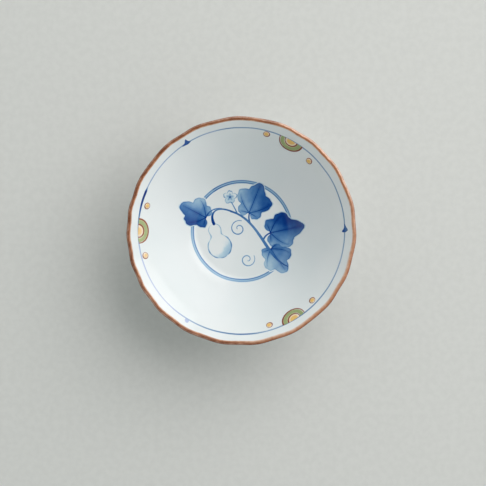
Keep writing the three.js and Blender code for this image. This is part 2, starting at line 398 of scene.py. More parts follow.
# Short marks on the blue line. Each has its azimuth, and at some places along the line how far
# it reaches outwards and inwards in millimetres, with its darkness on its outer and inner side.
LINE_MARKS = (
    {"azimuth": -0.3, "along": (0, 0.5, 1.1, 2.0, 3.4), "outwards": (0.7, 1.3, 1.2, 0.7, 0.2),
     "inwards": (1.35, 1.1, 0.6, 0.3, 0.2), "outer_tone": 0.74, "inner_tone": 0.86},
    {"azimuth": 121.4, "along": (-1.5, -0.5, 0, 0.5, 1.3, 2.9),
     "outwards": (0.1, 0.9, 2.05, 1.75, 0.7, 0.15), "inwards": (0.2, 0.4, 0.5, 0.5, 0.4, 0.2),
     "outer_tone": 0.84, "inner_tone": 0.9},
    {"azimuth": 238.6, "along": (-0.6, 0, 0.6), "outwards": (1.1, 1.45, 1.4),
     "inwards": (0.1, 0.3, 0.2), "outer_tone": 0.33, "inner_tone": 0.42},
)

# Depth in a stroke where nothing is painted, and how far outside a stroke its depth is worked out
UNPAINTED = -9.0
STROKE_MARGIN = 2


def stroke_depth(points, route, widths):
    """How far inside a brush stroke each point lies, less than 0 outside it"""
    halves = np.interp(np.linspace(0, 1, len(route)), np.linspace(0, 1, len(widths)), widths) / 2
    low = route.min(0) - STROKE_MARGIN
    high = route.max(0) + STROKE_MARGIN
    near = np.all((points > low) & (points < high), axis=1)
    found = np.full(np.count_nonzero(near), UNPAINTED)
    for start, end, first, last in zip(route, route[1:], halves, halves[1:]):
        run = end - start
        share = np.clip((points[near] - start) @ run / (run @ run), 0, 1)
        away = np.hypot(*(points[near] - start - share[:, None] * run).T)
        found = np.maximum(found, first + (last - first) * share - away)
    depth = np.full(len(points), UNPAINTED)
    depth[near] = found
    return depth


def along_stroke(points, route):
    """How far from one end of a stroke to the other each point lies, from 0 to 1"""
    run = route[-1] - route[0]
    return np.clip((points - route[0]) @ run / (run @ run), 0, 1)


def leaf_radius(angle, leaf, turn):
    """The leaf's outline about its centre: round lobes, a notch at the stem, an uneven edge"""
    lobes = LOBE_REACH * (np.cos(LOBES / 2 * angle) ** 2 + 0.03) ** 0.4
    tip = TIP_REACH * np.exp(-((angle / TIP_ANGLE) ** 2))
    notch = NOTCH_DEPTH * np.exp(-(((math.pi - np.abs(angle)) / NOTCH_ANGLE) ** 2))
    uneven = sum(depth * np.cos(waves * angle + move * turn) for waves, move, depth in EDGE_WAVES)
    return leaf["size"] * (LEAF_REACH + lobes + LEAF_LEAN * np.cos(angle) + tip + uneven - notch)


def paint_leaf(lay, points, leaf, turn):
    """A lobed leaf: a loaded wash that pales to one side, darker by its five veins and its edge"""
    forward = heading(leaf["tip"])
    sideways = np.array([-forward[1], forward[0]])
    base = np.array(leaf["base"])
    centre = base + LEAF_CENTRE * leaf["size"] * forward
    offset = points - centre
    reach = np.hypot(*offset.T)
    angle = np.arctan2(offset @ sideways, offset @ forward)
    outline = leaf_radius(angle, leaf, turn)
    depth = outline - reach
    tone = leaf["dark"] + (leaf["pale"] - leaf["dark"]) * eased(
        offset @ heading(leaf["pale_side"]) / leaf["size"], -0.35, 0.5
    )
    veins = np.full(len(points), UNPAINTED)
    for number in range(-2, 3):
        way = number * FULL_TURN / LOBES
        end = centre + VEIN_REACH * leaf_radius(way, leaf, turn) * (
            math.cos(way) * forward + math.sin(way) * sideways
        )
        middle = (base + end) / 2 + VEIN_BOW * leaf["size"] * math.sin(way) * sideways
        route = bezier(base, middle, end, steps=8)
        veins = np.maximum(veins, stroke_depth(points, route, VEIN_WIDTHS))
    patches = np.sin(2 * angle + turn) * eased(reach / outline, 0.2, 0.8)
    tone = tone + DARKER_IN_PATCHES * patches
    tone = tone + DARKER_BY_VEIN * eased(veins, -1.1, 0) + DARKER_BY_EDGE * eased(depth, 0.9, 0.2)
    lay("wash", depth, tone)
    lay("line", veins, tone + VEIN_DARKER)
    lay("picture", depth)


def paint_gourd(lay, points):
    """A gourd left white inside a thin uneven outline, with a pale wash down one side"""
    top = np.hypot(*(points - GOURD_TOP).T) - GOURD_TOP_RADIUS
    belly = np.hypot(*(points - GOURD_BELLY).T) - GOURD_BELLY_RADIUS
    share = np.clip(0.5 + 0.5 * (belly - top) / GOURD_WAIST, 0, 1)
    outside = belly * (1 - share) + top * share - GOURD_WAIST * share * (1 - share)
    around = np.arctan2(points[:, 1] - GOURD_BELLY[1], points[:, 0] - GOURD_BELLY[0])
    half_width = 0.17 + 0.08 * np.sin(2 * around + 1) + 0.07 * np.sin(9 * around)
    lay("line", half_width - np.abs(outside), GOURD_LINE_TONE + 0.16 * np.sin(around + 2.5))
    shaded = eased((points - GOURD_BELLY) @ heading(GOURD_WASH_SIDE), 0, 6.5)
    lay("wash", -outside - 0.1, GOURD_WASH_TONE * shaded)
    lay("picture", -outside)


def paint_flower(lay, points):
    """A flower in a pale wash, with an uneven outline, a ray in each petal and a dark heart"""
    offset = points - FLOWER
    reach = np.hypot(*offset.T)
    angle = np.arctan2(offset[:, 1], offset[:, 0]) - FLOWER_TURN
    petals = FLOWER_RADIUS * (0.6 + 0.4 * np.abs(np.cos(PETALS / 2 * angle)) ** 0.6)
    petals = petals * (1 + 0.07 * np.cos(3 * angle) + 0.03 * np.cos(13 * angle))
    lay("wash", petals - reach, 0.1 + 0.34 * eased(reach / petals, 0.75, 0.1))
    half_width = 0.14 + 0.07 * np.cos(4 * angle + 1)
    lay("line", half_width - np.abs(petals - reach), PETAL_LINE_TONE)
    rays = 0.1 - reach * np.abs(np.sin(PETALS / 2 * angle)) / (PETALS / 2)
    lay("line", np.minimum(rays, RAY_LENGTH - reach), RAY_TONE)
    lay("line", HEART_RADIUS - reach, HEART_TONE)
    lay("picture", petals - reach)


def paint_mark(lay, points, mark):
    """A short mark that sits on the blue line"""
    out = heading(mark["azimuth"])
    along = points @ np.array([-out[1], out[0]])
    above = np.hypot(*points.T) - BLUE_LINE_RADIUS
    past_end = np.maximum(0, np.maximum(mark["along"][0] - along, along - mark["along"][-1]))
    outwards = np.interp(along, mark["along"], mark["outwards"]) - past_end
    inwards = np.interp(along, mark["along"], mark["inwards"]) - past_end
    inwards = np.where(points @ out > 0, inwards, UNPAINTED)
    share = eased(above, -0.6, 0.6)
    tone = mark["inner_tone"] + (mark["outer_tone"] - mark["inner_tone"]) * share
    depth = np.minimum(np.minimum(outwards - above, inwards + above), 0.4 - past_end)
    lay("line", np.maximum(depth, UNPAINTED), tone)


def brushwork(places):
    """What the brush left at each point: how far inside it lies, in millimetres, and how dark"""
    points = places[:, :2]
    marks = {name: np.full(len(points), UNPAINTED) for name in ("wash", "line", "picture")}
    marks["wash_tone"] = np.zeros(len(points))
    marks["line_tone"] = np.zeros(len(points))

    def lay(kind, depth, tone=None):
        """Adds a shape to the marks; its darkness holds where it is the deepest so far"""
        if tone is not None:
            marks[kind + "_tone"] = np.where(depth > marks[kind], tone, marks[kind + "_tone"])
        marks[kind] = np.maximum(marks[kind], depth)

    for turn, leaf in enumerate(LEAVES):
        paint_leaf(lay, points, leaf, 1.7 * turn)
    paint_gourd(lay, points)
    paint_flower(lay, points)
    for stem in STEMS:
        route = bezier(*stem["route"], steps=24)
        depth = stroke_depth(points, route, stem["widths"])
        tone_places = np.linspace(0, 1, len(stem["tones"]))
        lay("line", depth, np.interp(along_stroke(points, route), tone_places, stem["tones"]))
        lay("picture", depth)
    for tendril in TENDRILS:
        share = np.linspace(0, 1, 60)
        angle = math.radians(tendril["start"]) + tendril["turns"] * FULL_TURN * share
        reach = tendril["reach"] * (1 - share) ** 0.9 + 0.6
        route = tendril["centre"] + reach[:, None] * np.column_stack([np.cos(angle), np.sin(angle)])
        lay("line", stroke_depth(points, route, TENDRIL_WIDTHS), tendril["tone"])
    for mark in LINE_MARKS:
        paint_mark(lay, points, mark)
    return marks


def surface_heights(points):
    """The height of the glazed inside under each point"""
    return np.interp(np.hypot(points[:, 0], points[:, 1]), inner_line[:, 0], inner_line[:, 1])


def refined(body, longest, within):
    """Cuts a glaze face's edges that are longer than this and this close to a painted edge"""
    body.verts.index_update()
    points = np.array([vert.co for vert in body.verts])
    marks = brushwork(points)
    on_face = np.abs(points[:, 2] - surface_heights(points)) < GLAZE / 8
    near = np.minimum(np.abs(marks["wash"]), np.abs(marks["line"])) < within
    ends = np.array([[vert.index for vert in edge.verts] for edge in body.edges])
    lengths = np.linalg.norm(points[ends[:, 0]] - points[ends[:, 1]], axis=1)
    chosen = near[ends].any(axis=1) & on_face[ends].all(axis=1) & (lengths > longest)
    made = bmesh.ops.subdivide_edges(
        body, edges=[edge for edge, cut in zip(body.edges, chosen) if cut], cuts=1,
        use_grid_fill=True,
    )
    fresh = [item for item in made["geom_inner"] if isinstance(item, bmesh.types.BMVert)]
    heights = surface_heights(np.array([vert.co for vert in fresh]))
    for vert, height in zip(fresh, heights):
        vert.co.z = height


# Materials

MATH = "ShaderNodeMath"
VECTOR_MATH = "ShaderNodeVectorMath"
RAMP = "ShaderNodeValToRGB"
RANGE = "ShaderNodeMapRange"
ATTRIBUTE = "ShaderNodeAttribute"

# Glaze, enamel and fired clay bend light about as glass does
GLASS_IOR = 1.5
GLAZE_ROUGHNESS = 0.13


def linear(colour):
    """An sRGB colour written as six hex digits, as the linear colour that shaders take"""
    channels = [int(colour[start:start + 2], 16) / 255 for start in (1, 3, 5)]
    return (*[c / 12.92 if c <= 0.04045 else ((c + 0.055) / 1.055) ** 2.4 for c in channels], 1)


def add(tree, kind, sockets=None, output=0, stops=(), **settings):
    """Adds a node with its settings, stops, values and links, and gives one of its outputs"""
    node = tree.nodes.new(kind)
    for name, value in settings.items():
        setattr(node, name, value)
    for index, (position, colour) in enumerate(stops):
        ramp = node.color_ramp.elements
        stop = ramp[index] if index < len(ramp) else ramp.new(position)
        stop.position = position
        stop.color = linear(colour) if isinstance(colour, str) else (colour, colour, colour, 1)
    for name, value in (sockets or {}).items():
        if isinstance(value, bpy.types.NodeSocket):
            tree.links.new(value, node.inputs[name])
        else:
            node.inputs[name].default_value = value
    return node.outputs[output] if node.outputs else node


def new_finish(name):
    """An empty material, its node tree and the point on the piece in millimetres"""
    material = bpy.data.materials.new(name)
    material.use_nodes = True
    tree = material.node_tree
    tree.nodes.clear()
    place = add(tree, VECTOR_MATH, {
        0: add(tree, "ShaderNodeTexCoord", output="Object"), 1: (1 / MM,) * 3,
    }, operation="MULTIPLY")
    return material, tree, place


def close_finish(tree, colour, roughness, ior, height=None, relief=0.0):
    """Puts the shader at the end of a material, with a relief of this depth in millimetres"""
    sockets = {"Base Color": colour, "Roughness": roughness, "IOR": ior}
    if height is not None:
        sockets["Normal"] = add(tree, "ShaderNodeBump", {
            "Height": height, "Distance": relief * MM, "Strength": 1.0,
        })
    surface = add(tree, "ShaderNodeBsdfPrincipled", sockets)
    add(tree, "ShaderNodeOutputMaterial", {"Surface": surface})


def grain(tree, place, size, detail=2.0, seed=0.0):
    """Soft cloudy noise from 0 to 1 whose patches are about this many millimetres across"""
    moved = add(tree, VECTOR_MATH, {0: place, 1: (seed, -seed, 2 * seed)}, operation="ADD")
    return add(tree, "ShaderNodeTexNoise", {"Vector": moved, "Scale": 0.5 / size, "Detail": detail})


def unsteady(tree, place, value, amount, size, detail=2.0, seed=0.0, **settings):
    """A value moved up and down by cloudy noise, by up to half this amount"""
    noise = add(tree, MATH, {0: grain(tree, place, size, detail, seed), 1: -0.5}, operation="ADD")
    return add(
        tree, MATH, {0: noise, 1: amount, 2: value}, operation="MULTIPLY_ADD", **settings,
    )


def polar(tree, place):
    """The distance from the dish's axis, the turn about it from 0 to 1, and the height"""
    x, y, z = (
        add(tree, "ShaderNodeSeparateXYZ", {0: place}, output=axis) for axis in range(3)
    )
    flat = add(tree, "ShaderNodeCombineXYZ", {0: x, 1: y})
    radius = add(tree, VECTOR_MATH, {0: flat}, output="Value", operation="LENGTH")
    angle = add(tree, MATH, {0: y, 1: x}, operation="ARCTAN2")
    turn = add(tree, MATH, {0: angle, 1: 1 / FULL_TURN, 2: 1.0}, operation="MULTIPLY_ADD")
    return radius, add(tree, MATH, {0: turn}, operation="FRACT"), z


def step(tree, value, low, high):
    """Goes smoothly from 0 at low to 1 at high; low may be the larger"""
    return add(tree, RANGE, {"Value": value, "From Min": low, "From Max": high},
               interpolation_type="SMOOTHSTEP")


def mixed(tree, share, first, second):
    """One colour turning into another"""
    sockets = {0: share, 6: first, 7: second}
    return add(tree, "ShaderNodeMix", sockets, output=2, data_type="RGBA")


def porcelain_white(tree, place):
    """White clay seen through clear glaze: faintly blue, a touch cooler where glaze is thicker"""
    cloud = grain(tree, place, 18, seed=3)
    return mixed(tree, step(tree, cloud, 0.35, 0.65), linear("#ebedee"), linear("#e6eaeb"))


# The iron brown from its inner edge over the lip, in millimetres along the surface: where it
# lies thick, where it ran thin on the crest, and where it slid outwards. Each ramp also holds
# painted light. The thick one darkens the outer edge, which is partly thin glaze over the shoulder
# and partly painted shade away from the softbox. The thin one is pale on the crest and outer side,
# which is partly thin glaze and partly a painted highlight towards the softbox. The slid one darkens
# the outer edge with painted shade and ends in a thin painted highlight line. Then how thin it is and
# how far it slid, at azimuths in degrees.
BROWN_RUN = 6
THICK_BROWN_AND_SHADE_STOPS = (
    (0.0, "#dcb295"), (0.3, "#bd8460"), (0.65, "#965b3b"), (0.95, "#7a4225"), (1.25, "#683419"),
    (1.5, "#7c4225"), (1.8, "#8f5234"), (2.15, "#7b4630"), (2.7, "#6b4638"), (3.2, "#83695c"),
    (3.6, "#6f4836"), (6.0, "#8a4e2e"),
)
# Pale crest and outer side: thin glaze with a painted highlight
THIN_BROWN_AND_HIGHLIGHT_STOPS = (
    (0.0, "#e4c6ae"), (0.3, "#d3a281"), (0.6, "#c0805a"), (0.95, "#b4704a"), (1.2, "#be7c56"),
    (1.5, "#deb096"), (1.8, "#e8c6b3"), (2.1, "#d1977a"), (2.5, "#eacfc2"), (3.1, "#e6cabd"),
    (3.5, "#b98a6e"), (6.0, "#8a4e2e"),
)
# Painted shade on the outer edge, then a thin painted highlight line at the outermost edge
SLID_BROWN_WITH_PAINTED_LIGHT_STOPS = (
    (0.0, "#ead2c4"), (0.5, "#e0bca6"), (0.95, "#cfa085"), (1.25, "#c28866"), (1.5, "#b67552"),
    (1.8, "#9f5f3c"), (2.1, "#8b4d32"), (2.6, "#7a4632"), (2.95, "#94705c"), (3.15, "#c4a897"),
    (3.5, "#8e5c42"), (6.0, "#8a4e2e"),
)
# The thin ramp is used most at azimuths 24 to 68, towards the softbox, where its pale crest is painted
# highlight as well as thin glaze
THIN_AND_LIT_PLACES = (
    (0, 0.72), (14, 0.6), (24, 1.0), (68, 0.95), (76, 0.3), (84, 0.55), (92, 0.3), (125, 0.22),
    (160, 0.15), (185, 0.25), (215, 0.4), (245, 0.35), (270, 0.25), (292, 0.2), (312, 0.4),
    (335, 0.65), (360, 0.72),
)
# The slid ramp, with its painted shade and painted highlight line, is used from azimuth 262 round to
# 22
SLID_WITH_PAINTED_LIGHT_PLACES = (
    (0, 0.6), (10, 0.4), (22, 0.0), (262, 0.0), (280, 0.6), (300, 0.85), (340, 0.8), (360, 0.6),
)

# How far before the brown's inner edge these runs start, and over what runs the brown fades
BROWN_OVERLAP = 0.5
BROWN_INNER_EDGE = (-0.2, 0.45)
BROWN_OUTER_EDGE = 0.1


def with_brown_lip(tree, place, turn, ground):
    """A glaze colour with the iron brown brushed over it: dark where it pools, pale on the crest, with
    painted highlight towards the softbox and painted shade on the outer edge away from it
    """
    run = add(tree, ATTRIBUTE, output="Fac", attribute_name="lip_run")
    run = add(tree, MATH, {0: run, 1: BROWN_OVERLAP}, operation="ADD")
    run = unsteady(tree, place, run, 0.35, size=4.5, seed=11)
    streak = unsteady(tree, place, run, 1.5, size=1.3, detail=4, seed=5)
    shade = add(tree, MATH, {0: streak, 1: 1 / BROWN_RUN}, operation="MULTIPLY")
    thick, thin, slid_with_painted_light = (
        add(tree, RAMP, {"Fac": shade}, stops=[(along / BROWN_RUN, hue) for along, hue in stops])
        for stops in (THICK_BROWN_AND_SHADE_STOPS, THIN_BROWN_AND_HIGHLIGHT_STOPS, SLID_BROWN_WITH_PAINTED_LIGHT_STOPS)
    )
    # Painted light: the pale, highlighted thin ramp is mixed in most towards the softbox, the thick
    # and slid ramps with their painted shade elsewhere
    thinness_and_light = unsteady(tree, place, by_azimuth(tree, turn, THIN_AND_LIT_PLACES), 1.6, size=2.2,
                        detail=3, seed=8, use_clamp=True)
    brown = mixed(tree, thinness_and_light, thick, thin)
    brown = mixed(tree, by_azimuth(tree, turn, SLID_WITH_PAINTED_LIGHT_PLACES), brown, slid_with_painted_light)
    outer_run = runs_from_brown[brown_end] + BROWN_OVERLAP
    inner_edge = step(tree, run, *BROWN_INNER_EDGE)
    outer_edge = step(tree, run, outer_run + BROWN_OUTER_EDGE, outer_run)
    return mixed(tree, product(tree, inner_edge, outer_edge), ground, brown)


def circle_band(tree, radius, centre, width, soft=0.09):
    """How much of a painted circle covers a point; the width may vary round the circle"""
    away = add(tree, MATH, {0: radius, 1: -centre}, operation="ADD")
    away = add(tree, MATH, {0: away}, operation="ABSOLUTE")
    inside = add(tree, MATH, {0: width, 1: 0.5}, operation="MULTIPLY")
    depth = add(tree, MATH, {0: inside, 1: away}, operation="SUBTRACT")
    return step(tree, depth, -soft, soft)


def by_azimuth(tree, turn, values):
    """A value that changes round the dish, given at azimuths in degrees"""
    stops = [(azimuth / 360, value) for azimuth, value in values]
    return add(tree, RAMP, {"Fac": turn}, stops=stops)


def darker_of(tree, first, second):
    """The larger of two values"""
    return add(tree, MATH, {0: first, 1: second}, operation="MAXIMUM")


def product(tree, *factors):
    """Several values multiplied together"""
    found = factors[0]
    for factor in factors[1:]:
        found = add(tree, MATH, {0: found, 1: factor}, operation="MULTIPLY")
    return found


# How dark and how wide the brush ran round the blue line, at azimuths in degrees
LINE_TONES = (
    (0, 0.56), (18, 0.62), (30, 0.5), (62, 0.58), (84, 0.5), (98, 0.66), (106, 0.42), (119, 0.56),
    (140, 0.42), (155.5, 0.46), (157, 1.0), (165, 0.96), (172, 0.7), (181, 0.5), (196, 0.32),
    (222, 0.24), (236, 0.4), (252, 0.6), (272, 0.74), (284, 0.52), (300, 0.66), (320, 0.58),
    (345, 0.44), (360, 0.56),
)
LINE_WIDTHS = (
    (0, 0.5), (60, 0.52), (100, 0.5), (140, 0.46), (155.5, 0.5), (157, 1.0), (164, 0.86), (171, 0.62),
    (180, 0.55), (225, 0.5), (262, 0.62), (276, 0.66), (284, 0.5), (320, 0.56), (360, 0.5),
)

# The blue line's slate, from faint to loaded
LINE_STOPS = (
    (0.0, "#dfe8ee"), (0.22, "#c4cbe2"), (0.32, "#b0badc"), (0.42, "#a0b4d0"), (0.55, "#84a2bd"),
    (0.7, "#5b80a9"), (0.85, "#26559c"), (1.0, "#0d2c78"),
)

# The double ring's inner and outer line
RING_TONES = (
    (0, 0.6), (40, 0.6), (80, 0.66), (112, 0.74), (124, 0.84), (126, 0.6), (150, 0.76), (180, 0.68),
    (215, 0.6), (250, 0.58), (290, 0.6), (360, 0.6),
)
OUTER_RING_TONES = (
    (0, 0.5), (60, 0.5), (112, 0.64), (124, 0.78), (126, 0.5), (150, 0.58), (185, 0.4), (215, 0.34),
    (260, 0.42), (310, 0.5), (360, 0.5),
)

# Cobalt, from faint to loaded
COBALT_STOPS = (
    (0.0, "#dfe8ee"), (0.15, "#bcd3e1"), (0.32, "#97b8d3"), (0.5, "#6792c1"), (0.62, "#4c7cb3"),
    (0.74, "#3366a5"), (0.85, "#1c5299"), (0.93, "#0a438f"), (1.0, "#003483"),
)

# The double ring's lines, and the pale wash that runs under both
RING_WIDTH = 0.5
RING_WASH_WIDTH = 1.5
RING_WASH_SOFTNESS = 0.25
RING_WASH_TONE = 0.32

# Beyond this radius, line work belongs to the blue line and takes its slate colours
BORDER_RADIUS = 40

# How darkly a wash pools inside its edge and bleeds past it
POOLED_TONE = 0.1
BLED_TONE = 0.18

# Noise in the brushwork: at its edges, in its darkness, and in the drawing of a circle
EDGE_NOISE = {"size": 0.5, "detail": 3, "seed": 2}
TONE_NOISE = {"size": 2.4, "detail": 3, "seed": 6}
CIRCLE_NOISE = {"size": 5, "seed": 21}


def painted_glaze():
    """Clear glaze over underglaze-blue brushwork: a hard gloss, with the blue sunk into it"""
    material, tree, place = new_finish("clear_glaze_over_underglaze_blue")
    radius, turn, _ = polar(tree, place)
    drawn = unsteady(tree, place, radius, 0.35, **CIRCLE_NOISE)
    wash, wash_tone, line, line_tone, picture = (
        add(tree, ATTRIBUTE, output="Fac", attribute_name=name)
        for name in ("wash", "wash_tone", "line", "line_tone", "picture")
    )

    wash_depth = unsteady(tree, place, wash, 0.25, **EDGE_NOISE)
    pooled = product(tree, step(tree, wash_depth, 0.55, 0.1), POOLED_TONE)
    wash_dark = unsteady(tree, place, wash_tone, 0.35, **TONE_NOISE)
    wash_dark = add(tree, MATH, {0: wash_dark, 1: pooled}, operation="ADD")
    wash_dark = product(tree, step(tree, wash_depth, -0.16, 0.2), wash_dark)
    bled = product(tree, step(tree, wash_depth, -0.9, 0.0), wash_tone, BLED_TONE)
    wash_dark = darker_of(tree, wash_dark, bled)
    line_depth = unsteady(tree, place, line, 0.14, **EDGE_NOISE)
    line_dark = unsteady(tree, place, line_tone, 0.2, **TONE_NOISE)
    line_dark = product(tree, step(tree, line_depth, -0.1, 0.1), line_dark)

    line_width = by_azimuth(tree, turn, LINE_WIDTHS)
    outline = circle_band(tree, drawn, BLUE_LINE_RADIUS, line_width)
    outline = product(tree, outline, by_azimuth(tree, turn, LINE_TONES))
    clear_of_picture = step(tree, picture, -0.35, -0.6)
    ring_middle = sum(RING_RADII) / 2
    ring = circle_band(tree, drawn, ring_middle, RING_WASH_WIDTH, RING_WASH_SOFTNESS)
    ring = product(tree, ring, RING_WASH_TONE)
    for ring_radius, tones in zip(RING_RADII, (RING_TONES, OUTER_RING_TONES)):
        one = circle_band(tree, drawn, ring_radius, RING_WIDTH)
        ring = darker_of(tree, ring, product(tree, one, by_azimuth(tree, turn, tones)))
    ring = product(tree, ring, clear_of_picture)

    dark = darker_of(tree, darker_of(tree, wash_dark, line_dark), ring)
    on_border = step(tree, radius, BORDER_RADIUS, BORDER_RADIUS + 1)
    outline = darker_of(tree, outline, product(tree, line_dark, on_border))
    cobalt = add(tree, RAMP, {"Fac": dark}, stops=COBALT_STOPS)
    ground = mixed(tree, step(tree, dark, 0.0, 0.14), porcelain_white(tree, place), cobalt)
    slate = add(tree, RAMP, {"Fac": outline}, stops=LINE_STOPS)
    ground = mixed(tree, step(tree, outline, 0.0, 0.2), ground, slate)
    colour = with_brown_lip(tree, place, turn, ground)
    close_finish(tree, colour, GLAZE_ROUGHNESS, GLASS_IOR, grain(tree, place, 3, seed=9),
                 relief=0.004)
    return material


# Glaze on the outside pools from the first of these heights down to the second
POOL_HEIGHTS = (8.6, 6.4)


def plain_glaze():
    """Clear glaze on plain white porcelain, a little blue-green where it pools by the foot"""
    material, tree, place = new_finish("clear_glaze_on_porcelain")
    _, turn, height = polar(tree, place)
    ground = porcelain_white(tree, place)
    pooled = product(tree, step(tree, height, *POOL_HEIGHTS), 0.5)
    ground = mixed(tree, pooled, ground, linear("#d3e0e2"))
    colour = with_brown_lip(tree, place, turn, ground)
    close_finish(tree, colour, GLAZE_ROUGHNESS, GLASS_IOR, grain(tree, place, 3, seed=9),
                 relief=0.005)
    return material


def lip_glaze():
    """Iron-brown glaze brushed on the lip: glossy and uneven, with painted highlight and shade in its
    colour, and a faint orange-peel
    """
    material, tree, place = new_finish("iron_brown_lip_glaze")
    _, turn, _ = polar(tree, place)
    colour = with_brown_lip(tree, place, turn, porcelain_white(tree, place))
    roughness = add(tree, RANGE, {
        "Value": grain(tree, place, 1.2, seed=4), "To Min": 0.16, "To Max": 0.34,
    })
    orange_peel = grain(tree, place, 0.8, detail=3, seed=7)
    close_finish(tree, colour, roughness, GLASS_IOR, orange_peel, relief=0.012)
    return material


# How far below the glaze's edge bare clay is flashed, and how strongly
FLASH_REACH = 0.6
FLASH_STRENGTH = 0.55


def bare_clay():
    """Biscuit porcelain where the tip is wiped clean: matt, fine-grained, flashed warm by the glaze"""
    material, tree, place = new_finish("bare_porcelain_clay")
    _, _, height = polar(tree, place)
    grit = grain(tree, place, 0.25, detail=4, seed=1)
    ground = mixed(tree, step(tree, grit, 0.35, 0.7), linear("#ebe6dc"), linear("#ddd5c7"))
    flashed = product(tree, step(tree, height, GLAZE_STOP - FLASH_REACH, GLAZE_STOP), FLASH_STRENGTH)
    colour = mixed(tree, flashed, ground, linear("#cfa27a"))
    close_finish(tree, colour, roughness=0.75, ior=GLASS_IOR, height=grit, relief=0.02)
    return material


def enamel(name, thin, thick, roughness, relief):
    """Overglaze enamel: a glassy colour that is deeper where it lies thicker"""
    material, tree, place = new_finish(name)
    depth = add(tree, ATTRIBUTE, output="Fac", attribute_name="depth")
    share = unsteady(tree, place, depth, 0.5, size=0.7, detail=3, seed=14)
    colour = mixed(tree, step(tree, share, 0.0, 0.9), linear(thin), linear(thick))
    close_finish(tree, colour, roughness, GLASS_IOR, grain(tree, place, 0.5, seed=15), relief)
    return material


INSIDE_GLAZE = painted_glaze()
OUTSIDE_GLAZE = plain_glaze()
LIP_GLAZE = lip_glaze()
CLAY = bare_clay()
ENAMELS = {
    "red_enamel": enamel("iron_red_enamel_line", "#b06f4e", "#7f3428", 0.35, 0.01),
    "green_enamel": enamel("green_glass_enamel", "#c6cb9c", "#9ba974", 0.12, 0.012),
    "yellow_enamel": enamel("yellow_glass_enamel", "#f9e6cf", "#eec070", 0.12, 0.012),
}


# The ware itself

def run_outside(places):
    """How far past the brown's inner edge the points of a coat outside the dish lie"""
    return lip_run(places, runs_from_brown[-1])


def make_ware():
    """Clay body, foot ring and four coats of glaze"""
    back = inset(over_line, GLAZE)
    clay = inset(over_line, GLAZE + HAIRLINE)
    recess_back = inset(recess_line, GLAZE)
    recess_clay = inset(recess_line, GLAZE + HAIRLINE)
    foot_clay_radius = FOOT_RADIUS - GLAZE - HAIRLINE

    above_joint = clay[clay[:, 1] > JOINT_HEIGHT]
    body = turned([*above_joint, (foot_clay_radius, JOINT_HEIGHT), (0, JOINT_HEIGHT)])
    finished("clay_body", body, "porcelain_body", CLAY)

    foot_top = JOINT_HEIGHT - HAIRLINE
    bore_side = recess_clay[recess_clay[:, 1] < foot_top - HAIRLINE]
    tip_inside = bezier(
        bore_side[0], (bore_side[0][0] + TIP_EASE_ACROSS, TIP_EASE_UP), (TIP_INNER_RADIUS, 0),
        steps=6,
    )
    tip_outside = bezier(
        (TIP_OUTER_RADIUS, 0), (foot_clay_radius - TIP_EASE_ACROSS, TIP_EASE_UP),
        (foot_clay_radius, bore_side[0][1]), steps=6,
    )
    foot = turned([
        *bore_side[::-1], *tip_inside[1:], *tip_outside, (foot_clay_radius, foot_top),
        (bore_side[-1][0], foot_top),
    ])
    finished("luted_foot", foot, "foot_ring", CLAY)

    recess = turned([
        *recess_line[::-1], *rolled_end(recess_line[0], recess_back[0]), *recess_back,
    ])
    finished("glaze_in_recess", recess, "recess_glaze", OUTSIDE_GLAZE, run_outside)

    outside = turned([
        *over_line[brown_end:], *rolled_end(over_line[-1], back[-1]), *back[brown_end:][::-1],
    ])
    finished("glaze_outside", outside, "outer_glaze", OUTSIDE_GLAZE, run_outside)

    lip = turned(coat(over_line[brown_start:brown_end + 1], back[brown_start:brown_end + 1]))
    finished("brown_lip", lip, "lip_brown_glaze", LIP_GLAZE, run_outside)

    inside = turned(coat(over_line[:brown_start + 1], back[:brown_start + 1]))
    for longest, within in REFINING_PASSES:
        refined(inside, longest, within)
    finished(
        "painted_glaze_inside", inside, "inner_glaze", INSIDE_GLAZE,
        lambda places: brushwork(places) | lip_run(places, runs_from_brown[0]),
    )


# Enamels over the glaze

BEAD_SUNK = 0.03
BEAD_STEPS = 96


def bead_profile(bore, radius, height):
    """The cross-section of a bead of enamel: steep round edges and a flat-domed top"""
    middle = (bore + radius) / 2 if bore else 0
    half = radius - middle
    angles = np.linspace(math.pi if bore else math.pi / 2, 0, 17)
    across = middle + half * np.sign(np.cos(angles)) * np.abs(np.cos(angles)) ** 0.55
    up = height * np.abs(np.sin(angles)) ** 0.8
    ends = [(across[-1], -BEAD_SUNK), (across[0], -BEAD_SUNK)]
    if not bore:
        across[0] = 0
        ends[1] = (0, -BEAD_SUNK)
    return [*zip(across, up), *ends]


def on_wall(points, azimuth, radius):
    """Points of a bead, x along the lip, y up the wall and z out of it, put on the inner wall"""
    run = np.interp(radius, inner_line[:, 0], wall_runs) + points[:, 1]
    foot = np.column_stack([np.interp(run, wall_runs, column) for column in inner_line.T])
    normal = np.column_stack([np.interp(run, wall_runs, column) for column in wall_normals.T])
    raised = foot + points[:, 2:] * normal
    turn = math.radians(azimuth) - points[:, 0] / foot[:, 0]
    return np.column_stack([raised[:, 0] * np.cos(turn), raised[:, 0] * np.sin(turn), raised[:, 1]])


def hand_drawn(points, middle, seed, uneven, off_centre=(0, 0)):
    """Points of a circle as a hand draws it: not quite round, wider on one side of its line"""
    angle = np.arctan2(points[:, 1], points[:, 0])
    reach = np.hypot(points[:, 0], points[:, 1])
    drawn = middle + (reach - middle) * (1 + uneven * np.cos(angle - seed))
    drawn = drawn * (1 + 0.014 * np.cos(2 * angle + seed) + 0.01 * np.cos(3 * angle + 2 * seed))
    return np.column_stack([
        drawn * np.cos(angle) + off_centre[0],
        drawn * np.sin(angle) + off_centre[1],
        points[:, 2],
    ])


